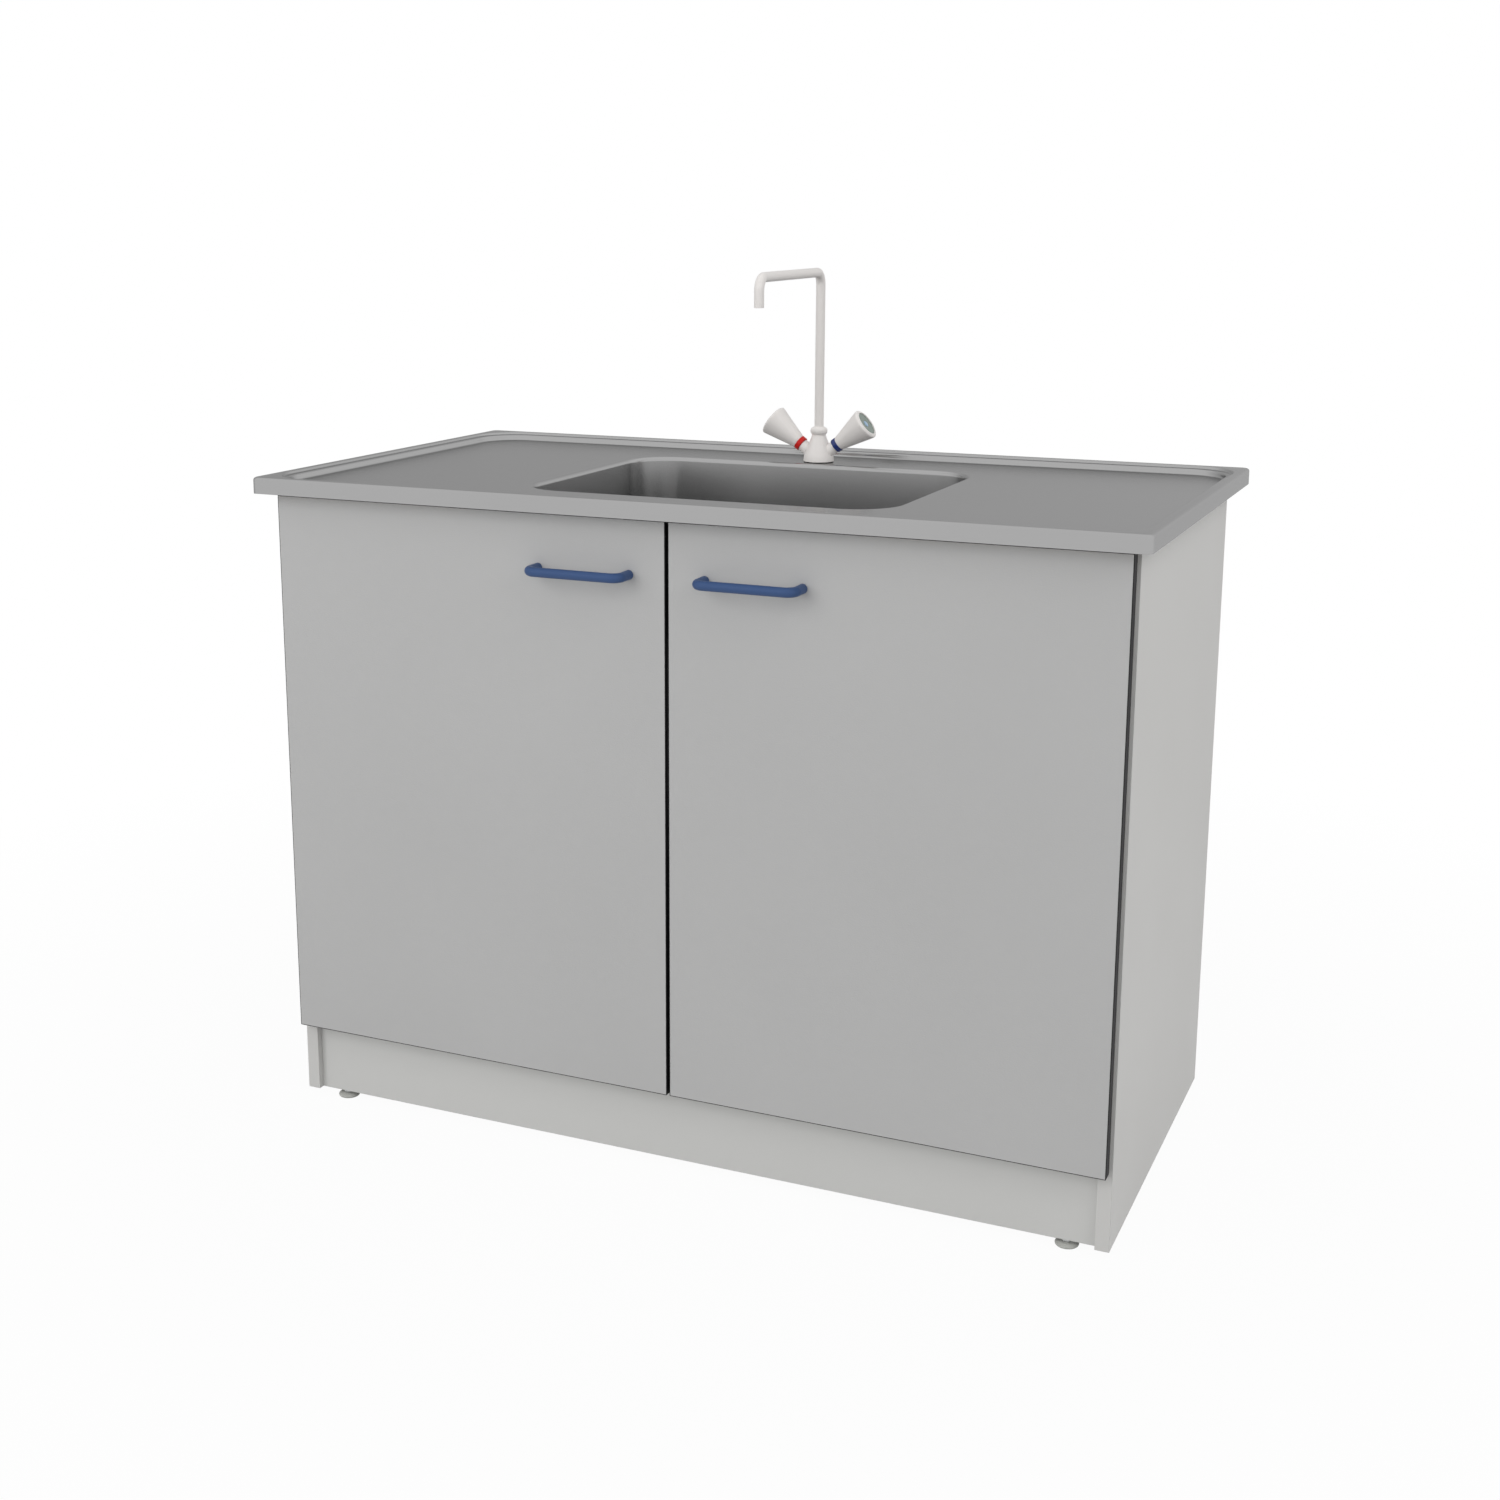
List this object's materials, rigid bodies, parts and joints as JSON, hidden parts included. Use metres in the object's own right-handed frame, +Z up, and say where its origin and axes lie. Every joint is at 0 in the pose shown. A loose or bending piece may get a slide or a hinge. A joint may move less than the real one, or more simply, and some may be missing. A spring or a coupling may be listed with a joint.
{
  "type": "laboratory sink unit",
  "caption": "Two-door laboratory base cabinet under a pressed stainless worktop with a central bowl, drainboards and a two-handle swivel mixer tap.",
  "frame": {"origin": "floor level, at the middle of the unit's overall footprint", "axes": "+Z up; +X along the front, from the left door to the right; -Y is the door side"},
  "size_m": [1.2, 0.663, 1.1647],
  "materials": {
    "white_board": "melamine-faced chipboard, satin",
    "plinth_board": "melamine-faced chipboard, satin",
    "hardboard": "white lacquered hardboard",
    "plywood": "sealed plywood",
    "door_laminate": "fine textured laminate",
    "black_edging": "satin black edge banding",
    "blue_paint": "satin powder coat",
    "stainless": "satin stainless sheet",
    "polished_stainless": "polished stainless",
    "white_epoxy": "warm white epoxy coat",
    "red_ring": "gloss",
    "blue_ring": "gloss",
    "cap_plastic": "gloss",
    "brass": "machined",
    "zinc_casting": "die-cast zinc",
    "zinc_plated_steel": "bright zinc plate",
    "nickel_plated_steel": "nickel plate",
    "black_rubber": "matt",
    "white_plastic": "moulded polypropylene",
    "grey_plastic": "moulded",
    "clear_pad": "clear soft pad"
  },
  "bodies": {
    "carcass": {"side_panel_left": "white_board", "side_panel_right": "white_board", "floor_panel": "white_board", "front_rail": "white_board", "rear_rail": "white_board", "plinth_front": "plinth_board", "plinth_rear": "plinth_board", "back_panel": "hardboard", "cam_connectors": "zinc_casting", "foot_inserts": "zinc_plated_steel", "hinge_arms": "nickel_plated_steel", "door_bumpers": "clear_pad", "worktop": "stainless", "sink_bowl": "stainless", "underlay_boards": "plywood", "fixing_brackets": "zinc_plated_steel", "carcass_screws": "zinc_plated_steel", "waste_grid": "polished_stainless", "waste_seal": "black_rubber", "waste_body": "white_plastic", "waste_screw": "polished_stainless", "trap_body": "white_plastic", "trap_cup": "white_plastic", "trap_nuts": "white_plastic", "trap_outlet_pipe": "white_plastic", "tap_gasket": "black_rubber", "tap_body": "white_epoxy", "spout_collar": "white_epoxy", "tap_washer": "zinc_plated_steel", "tap_nut": "brass", "valve_hot": "brass", "valve_cold": "brass"},
    "door_left": {"door_panel_left": "door_laminate", "door_edging_left": "black_edging", "door_handle_left": "blue_paint", "hinge_cups_left": "nickel_plated_steel", "door_fasteners_left": "zinc_plated_steel"},
    "door_right": {"door_panel_right": "door_laminate", "door_edging_right": "black_edging", "door_handle_right": "blue_paint", "hinge_cups_right": "nickel_plated_steel", "door_fasteners_right": "zinc_plated_steel"},
    "spout": {"spout_pipe": "white_epoxy", "spout_insert": "grey_plastic"},
    "hot_handle": {"handle_hot": "white_epoxy", "handle_cap_hot": "cap_plastic", "index_ring_hot": "red_ring", "spindle_hot": "brass"},
    "cold_handle": {"handle_cold": "white_epoxy", "handle_cap_cold": "cap_plastic", "index_ring_cold": "blue_ring", "spindle_cold": "brass"},
    "foot_pad_front_left": {"foot_disc_front_left": "grey_plastic"},
    "foot_screw_front_left": {"foot_stud_front_left": "zinc_plated_steel"},
    "foot_pad_front_right": {"foot_disc_front_right": "grey_plastic"},
    "foot_screw_front_right": {"foot_stud_front_right": "zinc_plated_steel"},
    "foot_pad_rear_left": {"foot_disc_rear_left": "grey_plastic"},
    "foot_screw_rear_left": {"foot_stud_rear_left": "zinc_plated_steel"},
    "foot_pad_rear_right": {"foot_disc_rear_right": "grey_plastic"},
    "foot_screw_rear_right": {"foot_stud_rear_right": "zinc_plated_steel"}
  },
  "joints": [
    {"name": "door_left_hinge", "type": "hinge", "parent": "carcass", "child": "door_left", "pos_m": [-0.569, -0.287, 0.492], "axis": [0, 0, -1], "range_deg": [0, 95]},
    {"name": "door_right_hinge", "type": "hinge", "parent": "carcass", "child": "door_right", "pos_m": [0.569, -0.287, 0.492], "axis": [0, 0, 1], "range_deg": [0, 95]},
    {"name": "spout_swivel", "type": "hinge", "parent": "carcass", "child": "spout", "pos_m": [-0.004, 0.241, 0.93], "axis": [0, 0, 1], "continuous": true},
    {"name": "hot_valve_turn", "type": "hinge", "parent": "carcass", "child": "hot_handle", "pos_m": [-0.004, 0.241, 0.8898], "axis": [-0.8039, 0, 0.5948], "range_deg": [0, 180]},
    {"name": "cold_valve_turn", "type": "hinge", "parent": "carcass", "child": "cold_handle", "pos_m": [-0.004, 0.241, 0.8898], "axis": [0.8039, 0, 0.5948], "range_deg": [0, 180]},
    {"name": "foot_travel_front_left", "type": "slide", "parent": "carcass", "child": "foot_pad_front_left", "axis": [0, 0, -1], "range_m": [0, 0.0125]},
    {"name": "foot_turn_front_left", "type": "hinge", "parent": "foot_pad_front_left", "child": "foot_screw_front_left", "pos_m": [-0.524, -0.2575, 0.003], "axis": [0, 0, -1], "range_deg": [0, 3600]},
    {"name": "foot_travel_front_right", "type": "slide", "parent": "carcass", "child": "foot_pad_front_right", "axis": [0, 0, -1], "range_m": [0, 0.0125]},
    {"name": "foot_turn_front_right", "type": "hinge", "parent": "foot_pad_front_right", "child": "foot_screw_front_right", "pos_m": [0.524, -0.2575, 0.003], "axis": [0, 0, -1], "range_deg": [0, 3600]},
    {"name": "foot_travel_rear_left", "type": "slide", "parent": "carcass", "child": "foot_pad_rear_left", "axis": [0, 0, -1], "range_m": [0, 0.0125]},
    {"name": "foot_turn_rear_left", "type": "hinge", "parent": "foot_pad_rear_left", "child": "foot_screw_rear_left", "pos_m": [-0.524, 0.2555, 0.003], "axis": [0, 0, -1], "range_deg": [0, 3600]},
    {"name": "foot_travel_rear_right", "type": "slide", "parent": "carcass", "child": "foot_pad_rear_right", "axis": [0, 0, -1], "range_m": [0, 0.0125]},
    {"name": "foot_turn_rear_right", "type": "hinge", "parent": "foot_pad_rear_right", "child": "foot_screw_rear_right", "pos_m": [0.524, 0.2555, 0.003], "axis": [0, 0, -1], "range_deg": [0, 3600]}
  ],
  "couplings": [
    {"joint": "foot_turn_front_left", "follows": "foot_travel_front_left", "rad_per_m": 5026.5},
    {"joint": "foot_turn_front_right", "follows": "foot_travel_front_right", "rad_per_m": 5026.5},
    {"joint": "foot_turn_rear_left", "follows": "foot_travel_rear_left", "rad_per_m": 5026.5},
    {"joint": "foot_turn_rear_right", "follows": "foot_travel_rear_right", "rad_per_m": 5026.5}
  ]
}
